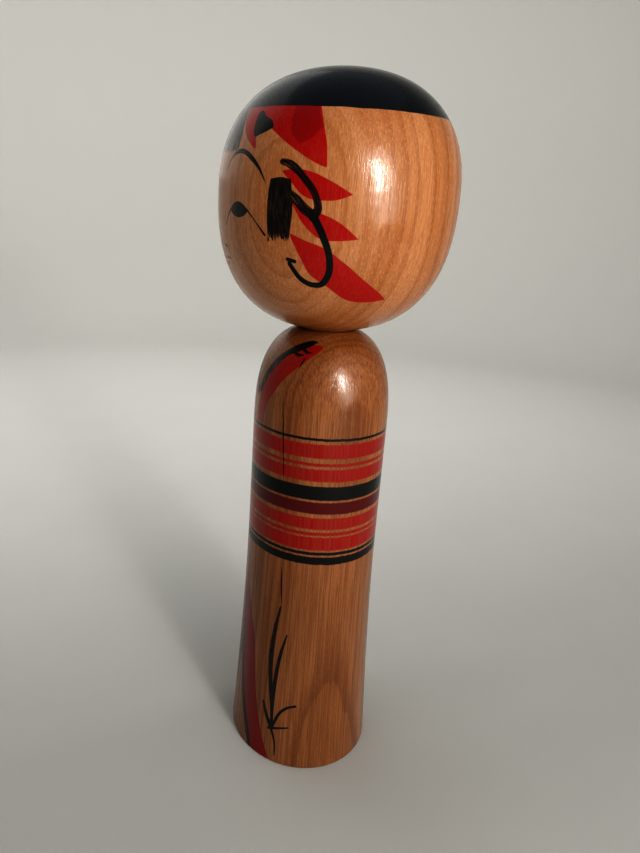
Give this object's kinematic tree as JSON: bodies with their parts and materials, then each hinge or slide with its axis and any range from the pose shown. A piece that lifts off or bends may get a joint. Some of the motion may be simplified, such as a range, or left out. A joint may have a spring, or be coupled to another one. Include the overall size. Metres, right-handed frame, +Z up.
{
  "type": "kokeshi doll",
  "caption": "Kokeshi doll with a turned wooden body and round head joined by a hidden neck dowel, painted face, side hair, red leaves, robe collar, grass and lathe-turned stripes.",
  "frame": {"origin": "centre of the foot, on the surface that the doll stands on", "axes": "+Z up along the doll's axis; the painted face looks along -Y, so the doll's left side is +X"},
  "size_m": [0.0768, 0.0768, 0.24],
  "materials": {
    "painted_wood": "satin",
    "dowel_wood": "matte"
  },
  "bodies": {
    "body": {"body": "painted_wood"},
    "peg": {"neck_peg": "dowel_wood"},
    "head": {"head": "painted_wood"}
  },
  "joints": [
    {"name": "peg_lift", "type": "slide", "parent": "body", "child": "peg", "axis": [0, 0, 1], "range_m": [0, 0.03]},
    {"name": "head_turn", "type": "hinge", "parent": "peg", "child": "head", "pos_m": [0, 0, 0.1595], "axis": [0, 0, 1], "continuous": true}
  ]
}
